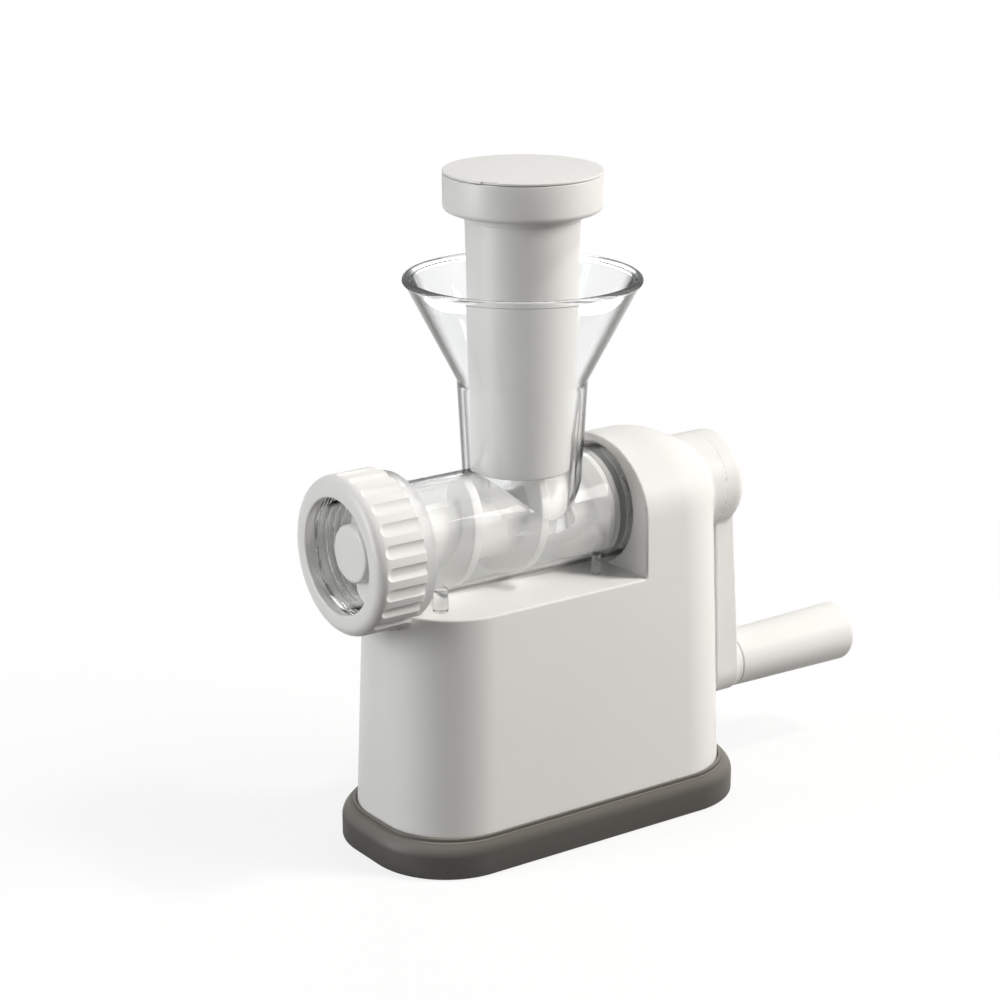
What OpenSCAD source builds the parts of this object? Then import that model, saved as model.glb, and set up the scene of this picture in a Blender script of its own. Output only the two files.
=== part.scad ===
// Hand-cranked sausage stuffer: a moulded body on a soft foot carries a clear hopper barrel,
// and a crank turns the feed screw in the barrel. Millimetres.
// +X runs along the barrel towards the crank and +Z is up.
// The origin is under the middle of the foot, in the plane that it rests on.

/* [Body] */
// Length of the body where it leaves the foot
body_l = 151.5; // [145:0.5:165]
// Width of the body where it leaves the foot
body_w = 70.4; // [68:0.2:78]
// Corner radius of the body
body_r = 29; // [24:0.5:32]
// Draft of the body's ends, in degrees
end_draft = 1.6; // [1:0.1:2.2]
// Draft of the body's long sides, in degrees
side_draft = 1.4; // [0.5:0.1:2]
// Wall of the body
wall = 2.8; // [2.2:0.1:3.4]
// Gap between the barrel and the deck in front of the tower
deck_gap = 0.3; // [0.2:0.1:4]
// Place of the tower's flat front face
tower_x = 25.4; // [22:0.2:28]
// Height of the tower's arched top above the barrel axis
arch_h = 26.6; // [26:0.1:29]
// How far the rounded top draws in towards the crank
dome_r = 33; // [26:0.5:36]

/* [Foot] */
// Height of the foot's skirt
foot_h = 15; // [13:0.5:18]
// How far the skirt stands out from the body at its top
foot_lip = 0.8; // [0.6:0.1:2]
// How much further the skirt's ends stand out below its shoulder
foot_flare_l = 4.6; // [3:0.1:6]
// How much further the skirt's long sides stand out below its shoulder
foot_flare_w = 3.3; // [2:0.1:4]
// Height of the shoulder
foot_shoulder = 7; // [5:0.5:8]
// Thickness of the sole under the body
sole_t = 4.5; // [3.6:0.1:6]
// Depth of the groove under the sole
sole_groove = 2; // [1:0.1:2.4]

/* [Barrel] */
// Height of the barrel and crank axis
axis_z = 122.2; // [116:0.2:128]
// Outer radius of the barrel
barrel_r = 22.2; // [20.6:0.1:23]
// Wall of the barrel
barrel_wall = 1.9; // [1.6:0.1:2.2]
// Length of the barrel from the tower to the stop flange behind the ring nut
barrel_l = 91.4; // [88:0.2:95]
// Thickness of the stop flange
flange_t = 5.6; // [3:0.1:7]
// Radius of the stop flange
flange_r = 27.8; // [27.2:0.1:28.4]
// How deep the barrel's tail sits in the tower
tail_l = 10; // [7:0.5:12]
// How far the wall that closes the barrel stands in front of the tower
wall_out = 3.4; // [1.6:0.2:7]
// Thickness of that wall
end_wall = 2.6; // [2:0.1:3.2]

/* [Chute and funnel] */
// Centre of the chute along the barrel
chute_x = -9.3; // [-13:0.1:-8]
// Height of the neck, where the funnel starts to open
neck_z = 176.8; // [170:0.2:182]
// Outer radius of the neck
neck_r = 24.6; // [24:0.1:26]
// How much slimmer than the barrel the chute starts
chute_step = 0.6; // [0.4:0.1:2]
// Height of the funnel's rim
rim_z = 216; // [206:0.5:226]
// Outer radius of the rim
rim_r = 44.7; // [38:0.1:50]
// Wall of the chute and funnel
funnel_wall = 2; // [1.7:0.1:2.3]
// Thickness of the rolled rim
rim_t = 3.4; // [2.8:0.1:4.2]

/* [Ring nut] */
// Length of the ring nut
nut_l = 20.3; // [18:0.1:24]
// Outer radius of the ring nut
nut_r = 30; // [29.4:0.1:31.5]
// Rounding of the ring nut's front edge
nut_edge = 3; // [2:0.1:3.6]
// Radius of the outlet opening
outlet_r = 21.9; // [20.8:0.1:22.8]
// Thickness of the ring nut's front plate
nut_plate = 3; // [2.2:0.1:3.4]
// Wall of the ring nut round its thread
nut_wall = 5; // [4:0.1:5.6]
// Room for a nozzle's flange between that plate and the barrel
nozzle_room = 2.2; // [1.4:0.1:3]
// Gap between the nut and the barrel's threaded mouth, on the radius
thread_gap = 0.4; // [0.3:0.05:0.6]
// Number of flutes
flutes = 21; // [16:1:24]
// Depth of a flute
flute_depth = 1.2; // [0.8:0.1:1.5]
// Radius of the cutter that makes a flute
flute_r = 2.6; // [2:0.1:3]

/* [Feed screw] */
// Clearance between the flight and the barrel
flight_gap = 0.4; // [0.3:0.05:0.8]
// Pitch of the flight
pitch = 30.4; // [24:0.2:36]
// Axial thickness of the flight at its crest
crest_t = 4; // [3:0.1:5]
// Axial thickness of the flight at its root
root_t = 6; // [5:0.1:8]
// Radius of the screw's core at the mouth
core_front_r = 10.9; // [9:0.1:11.5]
// Radius of the screw's core at its tail
core_rear_r = 12.5; // [11:0.1:14]
// How far the core's front end stands back from the barrel's mouth
core_back = 0.5; // [0.3:0.1:4]
// How far the flight's leading edge stands back from the barrel's mouth
flight_back = 3; // [2:0.1:6]
// Thickness of the tail disc
disc_t = 2.6; // [2:0.1:3.5]
// Thickness of the seal ring behind the disc
seal_t = 1.8; // [1.4:0.1:2.4]
// Depth of the hexagon socket in the screw's tail
socket_l = 17; // [12:0.5:22]

/* [Drive] */
// Width across the flats of the shaft's hexagon
hex_af = 10; // [8:0.2:10.4]
// Radius of the shaft's round middle
shaft_r = 6.4; // [6.2:0.1:7]
// Running clearance of shaft and spigot, on the radius
run_gap = 0.05; // [0.03:0.01:0.1]
// Radius of the screw's journal, where it leaves the barrel
journal_r = 9.2; // [8.6:0.1:9.6]
// Wall of a bush
bush_wall = 2; // [1.6:0.1:2.4]
// Length of the rear bush
bush_l = 14; // [10:0.5:18]
// Thickness of the body's wall behind the barrel, which holds the front bush
socket_t = 6; // [4:0.2:8]
// Step of the front bush's collar
collar = 2.4; // [1.6:0.1:3.4]
// Thickness of the shaft's retaining ring
clip_t = 1.2; // [1:0.1:1.6]

/* [Crank] */
// Radius of the hub
hub_r = 19.3; // [18:0.1:20]
// How far the body's bearing boss stands out behind the body
boss_out = 2.1; // [1.4:0.1:4]
// Room for the washer between that boss and the hub
hub_gap = 0.9; // [0.8:0.1:1.4]
// Length of the hub
hub_l = 10.4; // [10:0.1:12]
// Rounding of the hub's rear edge
hub_edge = 5.3; // [3:0.1:6]
// Radius of the seat of the hub's cap
cap_seat_r = 13.6; // [11:0.1:13.8]
// Length of the grip rib across the hub's cap
cap_rib = 26; // [16:0.5:26]
// Distance from the crank axis to the grip axis
crank_r = 80; // [70:1:90]
// Width of the arm
arm_w = 23.4; // [20:0.2:25]
// Thickness of the arm at the hub
arm_t = 9.1; // [7:0.1:9.6]
// How far the arm's front face leans away from the body, in degrees
arm_lean = 2.2; // [0.5:0.1:3]
// How far its rear face leans, in degrees
arm_back_lean = 4.2; // [2:0.1:5]
// Distance from the hub's front face to the rear end of the arm's lower boss
arm_boss_l = 17.8; // [16:0.1:20]
// Wall of the spigot round the shaft's hexagon
spigot_wall = 3.4; // [2.4:0.1:4]

/* [Grip] */
// Length of the grip
grip_l = 60; // [50:1:75]
// Radius of the grip beside the arm
grip_r0 = 11.3; // [10.5:0.1:12]
// Radius of the grip at its far end
grip_r1 = 12.2; // [11.4:0.1:13]
// Radius of the pin that the grip turns on
pin_r = 4; // [3:0.1:4.6]
// Radius of the pin's head
pin_head_r = 7; // [6:0.1:7.4]
// Thickness of the pin's head
pin_head_t = 2.4; // [1.6:0.1:3]
// Depth of the room for the pin's head in the grip
head_room = 9.7; // [8.4:0.1:12]

/* [Pusher] */
// Radius of the plunger at its lower end
plunger_r0 = 19.3; // [18:0.1:19.6]
// Radius of the plunger under its cap
plunger_r1 = 21.4; // [20.4:0.1:21.8]
// Wall of the plunger
plunger_wall = 2; // [1.6:0.1:2.6]
// Height of the top of the cap
cap_z = 255.6; // [246:0.2:262]
// Height of the cap
cap_h = 15; // [11:0.2:18]
// Radius of the cap
cap_r = 29.6; // [27:0.1:32]
// Rounding of the cap's lower edge
cap_edge = 2.4; // [1:0.1:3]
// Thickness of the cap's lid
lid_t = 0.9; // [0.8:0.1:2]
// Height of the collar under the cap
collar_h = 3; // [2:0.1:5]

/* [Hidden] */

white = "#f2f1ee";
clear = "#dfe8ea";
rubber = "#6f6b66";
steel = "#b9bcc0";
polymer = "#d9d6cc";

fit = 0.2;        // gap between pieces that seat in each other
seat = 0.3;       // gap between faces that nearly touch
bite = 0.5;       // how far one solid of a node runs into the next
eps = 0.05;       // how far a cut runs past a face

// Half length and half width of the body at a height
function half_l(z) = body_l / 2 - (z - foot_h) * tan(end_draft);
function half_w(z) = body_w / 2 - (z - foot_h) * tan(side_draft);

deck_z = axis_z - barrel_r - deck_gap;
chute_r = barrel_r - chute_step;     // at the height of the barrel axis
floor_z = sole_t + seat;             // underside of the body, inside the foot
inner_r = barrel_r - barrel_wall;    // barrel bore
flight_r = inner_r - flight_gap;

// Small fasteners
washer_t = 0.6;
plate_t = 3;                         // base plate
screw_r = 1.75;
screw_l = 13;
screw_head_r = 3.1;
screw_head_t = 1.4;
boss_r = 4.2;                        // screw bosses in the body
boss_h = 26;
boss_in = 28;                        // from the body's end to a boss
boss_side = 14;                      // from the body's side to a boss
boss_xy = [for (sx = [-1, 1], sy = [-1, 1]) [sx * (body_l / 2 - boss_in), sy * (body_w / 2 - boss_side)]];
flute_phase = 6.8;                   // turn of the first flute
cap_seat_t = 2.8;                    // thickness of the hub's cap
bolt_r = 2;                          // crank's screw
bolt_head_r = 4.4;
bolt_head_t = 2.3;
bolt_in = 8;                         // how deep it goes into the shaft
nut_in = 5.5;                        // depth of the recess for the pin's nut
grip_cap_t = 2.4;                    // thickness of the grip's end cap

// Along the barrel, from the tower to the outlet
flange_x = tower_x - barrel_l;       // rear face of the stop flange
nut_end = flange_x - flange_t - seat;
nut_x = nut_end - nut_l;             // front face of the ring nut
mouth_x = nut_x + nut_plate + nozzle_room;
core_x = mouth_x + core_back;
flight_x = mouth_x + flight_back;

// From the tower to the crank
wall_x = tower_x - wall_out;         // front face of the barrel's end wall
tail_x = tower_x + tail_l;           // rear end of the barrel
disc_x = wall_x - 2 * seat - seal_t - disc_t;
screw_end = tail_x - 1;              // rear end of the feed screw
socket_floor = tail_x + seat;        // bottom of the socket in the tower
clip_x = socket_floor + socket_t + seat + collar;
hex_r = hex_af / 2 / cos(30);
hex_play = 0.1;                      // between the hexagon and its sockets
spigot_r = hex_r + spigot_wall;      // crank's spigot
boss_end = half_l(axis_z) + boss_out;
boss_root = half_l(axis_z) - dome_r / 2;
hub_x = boss_end + hub_gap;          // front face of the hub
hub_end = hub_x + hub_l;
bolt_seat_x = hub_end - cap_seat_t - fit - bolt_head_t - seat;
spigot_x = boss_end - bush_l - 1;    // front end of the spigot

// Grip and plunger
grip_z = axis_z - crank_r;
boss_x = hub_x + arm_boss_l;
grip_x = boss_x + seat;              // front end of the grip
grip_end = grip_x + grip_l;
head_x = grip_end - head_room + seat + washer_t + seat; // front of the pin's head
plunger_z = axis_z + flight_r + seat;
cap_base = cap_z - cap_h;
notch_angle = -150;                  // where the lid's notch is
notch_w = 7;
notch_depth = 1.1;

// Turns a profile of [radius, height] round the barrel axis, height running along +X
module turn_x(z = axis_z) {
    translate([0, 0, z]) rotate([0, 90, 0]) rotate_extrude($fn = 96) children();
}

module rod_x(r, x0, x1, z = axis_z, fn = 96) {
    translate([x0, 0, z]) rotate([0, 90, 0]) cylinder(r = r, h = x1 - x0, $fn = fn);
}

// Rectangle with round corners, exact arcs
module oblong(hl, hw, r, fn = 64) {
    square([2 * hl, 2 * (hw - r)], center = true);
    square([2 * (hl - r), 2 * hw], center = true);
    for (sx = [-1, 1], sy = [-1, 1]) translate([sx * (hl - r), sy * (hw - r)]) circle(r, $fn = fn);
}

module slice(z, hl, hw, r, fn = 64) {
    translate([0, 0, z]) linear_extrude(0.02) oblong(hl, hw, min(r, hw), fn);
}

// The body's envelope, drawn in by a wall: drafted sides, then an arched top with domed ends
module envelope(inset, z0) {
    hull() {
        slice(z0, half_l(z0) - inset, half_w(z0) - inset, body_r - inset);
        for (t = [0:9:81]) {
            k = cos(t);
            slice(axis_z + (arch_h - inset) * sin(t), half_l(axis_z) - inset - dome_r * (1 - k),
                  (half_w(axis_z) - inset) * k, (body_r - inset) * k, 48);
        }
        slice(axis_z + arch_h - inset - 0.02, half_l(axis_z) - inset - dome_r,
              (half_w(axis_z) - inset) * 0.08, 1, 16);
    }
}

// What is cut away in front of the tower and above the deck
module front_space(dx, dz) {
    translate([-body_l, -body_w, deck_z - dz]) cube([body_l + tower_x + dx, 2 * body_w, 2 * body_w]);
}

// What is scooped out of the deck's front end for the ring nut and the stop flange
module nut_space(d) {
    rod_x(nut_r + 2 * seat + d, -body_l, nut_end + seat + d);
    rod_x(flange_r + seat + d, -body_l, flange_x + seat + d);
}

module housing() {
    color(white)
    difference() {
        union() {
            difference() {
                envelope(0, floor_z);
                front_space(0, 0);
                nut_space(0);
                difference() {
                    envelope(wall, floor_z - eps);
                    front_space(wall, wall);
                    nut_space(wall);
                }
            }
            // socket wall and the boss round the crank's bush
            intersection() {
                rod_x(barrel_r + fit + 2.4, tower_x, socket_floor + socket_t);
                envelope(wall / 2, floor_z);
            }
            difference() {
                rod_x(hub_r, boss_root, boss_end);
                rod_x(hub_r - wall, boss_root - 1, half_l(axis_z) - wall);
            }
            rod_x(spigot_r + bush_wall + wall, boss_root, boss_end);
            // screw bosses, each tied to the long wall by a rib
            intersection() {
                for (p = boss_xy) translate([p.x, p.y, floor_z + plate_t + seat]) {
                    cylinder(r = boss_r, h = boss_h, $fn = 32);
                    translate([-1, p.y > 0 ? 0 : -boss_side, 0]) cube([2, boss_side, boss_h]);
                }
                envelope(wall / 2, floor_z);
            }
        }
        // shadow gap at the socket's mouth, then the socket
        rod_x(barrel_r + 1.6, tower_x - 1, tower_x + 2);
        rod_x(barrel_r + fit, tower_x, socket_floor);
        rod_x(shaft_r + run_gap + bush_wall, tower_x, socket_floor + socket_t + 1);
        rod_x(spigot_r + run_gap + bush_wall, boss_root - 1, boss_end + 1);
        for (p = boss_xy) translate([p.x, p.y, floor_z])
            cylinder(r = screw_r - 0.3, h = screw_l + 3, $fn = 24);
    }
}

module base_plate() {
    color(white)
    difference() {
        translate([0, 0, floor_z])
            linear_extrude(plate_t)
                oblong(half_l(floor_z + plate_t) - wall - fit, half_w(floor_z + plate_t) - wall - fit,
                       body_r - wall - fit);
        for (p = boss_xy) translate([p.x, p.y, floor_z - eps]) {
            cylinder(r = screw_r + fit, h = plate_t + 1, $fn = 24);
            cylinder(r = screw_head_r + seat, h = screw_head_t + fit + eps, $fn = 32);
        }
    }
}

module base_screws() {
    color(steel)
    for (p = boss_xy) translate([p.x, p.y, floor_z]) {
        cylinder(r = screw_head_r, h = screw_head_t, $fn = 32);
        cylinder(r = screw_r - 0.32, h = screw_l, $fn = 24);
    }
}

module foot() {
    top_l = half_l(foot_h) + foot_lip;
    top_w = half_w(foot_h) + foot_lip;
    low = foot_h - foot_shoulder;
    color(rubber)
    difference() {
        hull() {
            // [height, share of the flare, further step]
            for (s = [[0, 1, -0.5], [1, 1, 0], [low, 1, 0], [low + 0.3 * foot_shoulder, 0.9, 0],
                      [low + 0.6 * foot_shoulder, 0.66, 0], [low + 0.85 * foot_shoulder, 0.32, 0],
                      [foot_h - 0.02, 0, 0]])
                slice(s[0], top_l + s[1] * foot_flare_l + s[2], top_w + s[1] * foot_flare_w + s[2],
                      body_r + (foot_lip + s[1] * foot_flare_w) / 2 + s[2]);
        }
        // seat of the body
        hull() for (z = [sole_t, foot_h + 1])
            slice(z, half_l(z) + fit, half_w(z) + fit, body_r + fit);
        // groove under the sole, between a rim and a pad
        translate([0, 0, -1]) linear_extrude(sole_groove + 1) difference() {
            oblong(top_l - 5, top_w - 5, body_r - 5);
            oblong(top_l - 13, top_w - 13, body_r - 13);
        }
    }
}

module front_bush() {
    color(polymer) difference() {
        union() {
            rod_x(shaft_r + bush_wall, socket_floor + seat, socket_floor + socket_t + seat);
            rod_x(shaft_r + bush_wall + collar, socket_floor + socket_t + seat, clip_x - seat);
        }
        rod_x(shaft_r + run_gap, socket_floor, clip_x);
    }
}

module rear_bush() {
    color(polymer) difference() {
        rod_x(spigot_r + bush_wall, boss_end - bush_l, boss_end);
        rod_x(spigot_r + run_gap, spigot_x - 1, boss_end + 1);
    }
}

// Outer and inner outline of chute and funnel, as [radius, height]
module funnel_profile() {
    tip = rim_r - rim_t / 2;
    tip_z = rim_z - rim_t / 2;
    difference() {
        union() {
            polygon([[0, axis_z], [chute_r, axis_z], [neck_r, neck_z], [rim_r - 0.6, tip_z], [0, tip_z]]);
            translate([tip, tip_z]) circle(rim_t / 2, $fn = 32);
        }
        polygon([[-1, axis_z - 1], [chute_r - funnel_wall, axis_z - 1], [neck_r - funnel_wall, neck_z],
                 [tip - 0.6, tip_z], [tip, tip_z + eps], [tip, rim_z + 1], [-1, rim_z + 1]]);
    }
}

module barrel() {
    color(clear, 0.4)
    difference() {
        union() {
            rod_x(barrel_r, mouth_x + 2, tail_x);
            rod_x(nut_r - nut_wall - thread_gap, mouth_x, flange_x - 1);
            rod_x(flange_r, flange_x - flange_t, flange_x);
            difference() {
                translate([chute_x, 0, 0]) rotate_extrude($fn = 96) funnel_profile();
                rod_x(barrel_r - 0.5, mouth_x, tail_x);
            }
            // small feet over the deck, front and rear
            for (s = [-1, 1]) {
                translate([flange_x + 6.8, s * 0.84 * barrel_r, deck_z + seat])
                    cylinder(r = 2.9, h = barrel_r / 2, $fn = 32);
                translate([tower_x - 12.4, s * 0.79 * barrel_r, deck_z + seat])
                    cylinder(r = 1.9, h = barrel_r / 2, $fn = 32);
            }
        }
        rod_x(inner_r, mouth_x - 1, wall_x);
        rod_x(inner_r, wall_x + end_wall, tail_x + 1);
        rod_x(journal_r + fit, wall_x - 1, tail_x);
        translate([chute_x, 0, axis_z])
            cylinder(r1 = chute_r - funnel_wall, r2 = neck_r - funnel_wall, h = neck_z - axis_z, $fn = 96);
    }
}

module ring_nut() {
    color(white)
    difference() {
        turn_x() difference() {
            union() {
                translate([0, nut_x]) square([nut_r - nut_edge, nut_l]);
                translate([0, nut_x + nut_edge]) square([nut_r, nut_l - nut_edge]);
                translate([nut_r - nut_edge, nut_x + nut_edge]) circle(nut_edge, $fn = 48);
            }
            translate([-1, nut_x - 1]) square([outlet_r + 1, nut_plate + 2]);
            translate([-1, nut_x + nut_plate]) square([nut_r - nut_wall + 1, nut_l]);
        }
        for (i = [0:flutes - 1]) translate([0, 0, axis_z]) rotate([flute_phase + i * 360 / flutes, 0, 0])
            translate([nut_x + nut_edge + flute_r - 1, 0, nut_r + flute_r - flute_depth])
                rotate([0, 90, 0]) flute_cutter();
    }
}

// Rod with a round end
module flute_cutter() {
    rotate_extrude($fn = 48) intersection() {
        union() {
            circle(flute_r, $fn = 48);
            square([flute_r, nut_l]);
        }
        translate([0, -flute_r]) square([flute_r, nut_l + flute_r]);
    }
}

// Helical flight swept round the axis: left hand, starting at six o'clock
module flight() {
    turns = (disc_x + disc_t - bite - flight_x - (root_t + crest_t) / 2) / pitch;
    n = ceil(turns * 30);
    root = core_front_r - 2;
    rear = (root_t + crest_t) / 2;
    front = (root_t - crest_t) / 2;
    edge = crest_t / 7;
    ring = [[root, 0], [root, root_t], [flight_r - edge, rear], [flight_r, rear - edge],
            [flight_r, front + edge], [flight_r - edge, front]];
    m = len(ring);
    pts = [for (i = [0:n]) let (a = 360 * turns * i / n) for (q = ring)
        [flight_x - front + q[1] + pitch * a / 360, -q[0] * sin(a), axis_z - q[0] * cos(a)]];
    sides = [for (i = [0:n - 1], j = [0:m - 1])
        [i * m + j, i * m + (j + 1) % m, (i + 1) * m + (j + 1) % m, (i + 1) * m + j]];
    polyhedron(pts, concat([[for (j = [m - 1:-1:0]) j]], sides, [[for (j = [0:m - 1]) n * m + j]]));
}

module auger() {
    color(white)
    difference() {
        union() {
            translate([core_x, 0, axis_z]) rotate([0, 90, 0])
                cylinder(r1 = core_front_r, r2 = core_rear_r, h = disc_x + bite - core_x, $fn = 96);
            flight();
            rod_x(inner_r - seat, disc_x, disc_x + disc_t);
            rod_x(journal_r, disc_x, screw_end);
        }
        rod_x(hex_r + hex_play, screw_end - socket_l, screw_end + 1, fn = 6);
    }
}

module auger_seal() {
    color(rubber) difference() {
        rod_x(inner_r - fit, wall_x - seat - seal_t, wall_x - seat);
        rod_x(journal_r + run_gap, disc_x, wall_x + 1);
    }
}

module drive_shaft() {
    color(steel) difference() {
        union() {
            rod_x(hex_r, screw_end - socket_l + 1, hub_x + 1, fn = 6);
            rod_x(shaft_r, screw_end + 2 * seat, spigot_x - 1);
        }
        // groove of the retaining ring, and the hole for the crank's screw
        difference() {
            rod_x(shaft_r + 1, clip_x, clip_x + clip_t + fit);
            rod_x(shaft_r - 0.7, clip_x - 1, clip_x + clip_t + 1);
        }
        rod_x(bolt_r + run_gap, hub_x - bolt_in - 1, hub_x + 2, fn = 32);
    }
}

module shaft_clip() {
    color(steel) difference() {
        rod_x(shaft_r + collar, clip_x + fit / 2, clip_x + fit / 2 + clip_t);
        rod_x(shaft_r - 0.65, clip_x - 1, clip_x + clip_t + 1);
    }
}

module hub_washer() {
    color(polymer) difference() {
        rod_x(spigot_r + 5, boss_end + 0.15, boss_end + 0.15 + washer_t);
        rod_x(spigot_r + fit, boss_end - 1, hub_x + 1);
    }
}

module crank_arm() {
    arm_reach = crank_r + arm_w;
    color(white)
    difference() {
        union() {
            turn_x() intersection() {
                union() {
                    translate([0, hub_x]) square([hub_r, hub_l - hub_edge]);
                    translate([0, hub_x]) square([hub_r - hub_edge, hub_l]);
                    translate([hub_r - hub_edge, hub_end - hub_edge]) circle(hub_edge, $fn = 48);
                }
                translate([0, hub_x]) square([hub_r, hub_l]);
            }
            rod_x(spigot_r, spigot_x, hub_x + bite);
            // arm and its round lower end
            intersection() {
                translate([hub_x, 0, axis_z]) rotate([0, 90, 0]) linear_extrude(3 * arm_t) {
                    translate([0, -arm_w / 2]) square([crank_r, arm_w]);
                    translate([crank_r, 0]) circle(arm_w / 2, $fn = 64);
                }
                rotate([90, 0, 0]) linear_extrude(2 * arm_w, center = true)
                    polygon([[hub_x + eps, axis_z], [hub_x + arm_t, axis_z],
                             [hub_x + arm_t + arm_reach * tan(arm_back_lean), axis_z - arm_reach],
                             [hub_x + eps + arm_reach * tan(arm_lean), axis_z - arm_reach]]);
            }
            rod_x(grip_r0, hub_x + arm_t, boss_x, z = grip_z);
        }
        rod_x(hex_r + hex_play, spigot_x - 1, hub_x + 1 + fit, fn = 6);
        rod_x(bolt_r + fit, spigot_x, hub_end + 1, fn = 32);
        rod_x(cap_seat_r, hub_end - cap_seat_t - fit, hub_end + 1);
        rod_x(bolt_head_r + 2 * seat, bolt_seat_x, hub_end, fn = 48);
        rod_x(pin_r - 1 + run_gap, hub_x - 1, boss_x + 1, z = grip_z, fn = 48);
        rod_x(pin_r + 2.6, hub_x - 1, hub_x + nut_in, z = grip_z, fn = 6);
    }
}

module crank_screw() {
    color(steel) {
        rod_x(bolt_head_r, bolt_seat_x + fit / 2, bolt_seat_x + fit / 2 + bolt_head_t, fn = 48);
        rod_x(bolt_r, hub_x - bolt_in, bolt_seat_x + bite, fn = 32);
    }
}

module hub_cap() {
    color(white) {
        rod_x(cap_seat_r - fit, hub_end - cap_seat_t, hub_end);
        translate([hub_end - eps, -cap_rib / 2, axis_z - 0.9]) cube([1.2 + eps, cap_rib, 1.8]);
    }
}

module grip_pin() {
    color(steel) {
        rod_x(pin_r, boss_x + fit / 2, head_x + bite, z = grip_z);
        rod_x(pin_r - 1, hub_x + 2, boss_x + 1, z = grip_z, fn = 48);
        rod_x(pin_head_r, head_x, head_x + pin_head_t, z = grip_z, fn = 48);
    }
}

module grip_washer() {
    color(polymer) difference() {
        rod_x(pin_head_r + 2 * seat, head_x - seat - washer_t, head_x - seat, z = grip_z, fn = 48);
        rod_x(pin_r + run_gap, head_x - 4, head_x, z = grip_z, fn = 48);
    }
}

module grip_nut() {
    color(steel) difference() {
        rod_x(pin_r + 2.6 - seat, hub_x + nut_in - seat - 3, hub_x + nut_in - seat, z = grip_z, fn = 6);
        rod_x(pin_r - 1 + run_gap, hub_x, hub_x + nut_in, z = grip_z, fn = 48);
    }
}

module grip() {
    edge = grip_r1 / 4;
    color(white)
    turn_x(grip_z) difference() {
        union() {
            polygon([[0, grip_x], [grip_r0 - 0.6, grip_x], [grip_r0, grip_x + 0.6],
                     [grip_r1, grip_end - edge], [0, grip_end - edge]]);
            translate([grip_r1 - edge, grip_end - edge]) circle(edge, $fn = 48);
            translate([0, grip_end - edge - 1]) square([grip_r1 - edge, edge + 1]);
        }
        translate([-1, grip_x - 1]) square([pin_r + run_gap + 1, grip_l + 2]);
        translate([-1, grip_end - head_room]) square([pin_head_r + 2, head_room + 1]);
    }
}

module grip_cap() {
    color(white)
    turn_x(grip_z) translate([0, grip_end - grip_cap_t]) square([pin_head_r + 1 - fit, grip_cap_t]);
}

// The plunger is a hollow drafted tube, closed below, with a wide cap on top
module pusher() {
    color(white)
    translate([chute_x, 0, 0]) rotate_extrude($fn = 96)
    difference() {
        union() {
            polygon([[0, plunger_z], [plunger_r0 - 1, plunger_z], [plunger_r0, plunger_z + 1],
                     [plunger_r1, cap_base + 2], [0, cap_base + 2]]);
            translate([0, cap_base - collar_h]) square([plunger_r1 + 0.6, collar_h + 1]);
            translate([0, cap_base + cap_edge]) square([cap_r, cap_h - cap_edge - lid_t - seat]);
            translate([0, cap_base]) square([cap_r - cap_edge, cap_edge + 1]);
            translate([cap_r - cap_edge, cap_base + cap_edge]) circle(cap_edge, $fn = 32);
        }
        polygon([[-1, plunger_z + plunger_wall], [plunger_r0 - plunger_wall, plunger_z + plunger_wall],
                 [plunger_r1 - plunger_wall, cap_base + 4], [plunger_r1 - plunger_wall, cap_z], [-1, cap_z]]);
    }
}

// Lid of the cap, with a rim that plugs the plunger and a notch to pry it off
module pusher_lid() {
    edge = lid_t / 3;
    plug_r = plunger_r1 - plunger_wall - fit;
    color(white)
    translate([chute_x, 0, 0]) difference() {
        rotate_extrude($fn = 96) {
            translate([0, cap_z - lid_t]) square([cap_r - edge, lid_t]);
            translate([0, cap_z - lid_t]) square([cap_r, lid_t - edge]);
            translate([cap_r - edge, cap_z - edge]) circle(edge, $fn = 24);
            translate([plug_r - 2, cap_z - lid_t - 3]) square([2, 3 + bite]);
        }
        rotate([0, 0, notch_angle]) translate([cap_r - notch_depth, -notch_w / 2, cap_z - lid_t - 1])
            cube([notch_depth + 1, notch_w, lid_t + 2]);
    }
}

housing();
base_plate();
base_screws();
foot();
front_bush();
rear_bush();
barrel();
ring_nut();
auger();
auger_seal();
drive_shaft();
shaft_clip();
hub_washer();
crank_arm();
crank_screw();
hub_cap();
grip_pin();
grip_washer();
grip_nut();
grip();
grip_cap();
pusher();
pusher_lid();
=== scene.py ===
# %% [markdown]
# # A hand-cranked sausage stuffer
# The real thing is a small kitchen machine: a moulded white body on a soft dark foot, a clear
# hopper barrel with a feed screw in it, a fluted ring nut at the outlet, a plunger in the funnel
# and a crank at the back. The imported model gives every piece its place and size. Here each
# visible piece is dressed: it gets its small roundings, its threads and its finish.

# %% Load the frame
import math

import bmesh
import bpy
import numpy as np
from mathutils import Matrix, Vector


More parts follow.
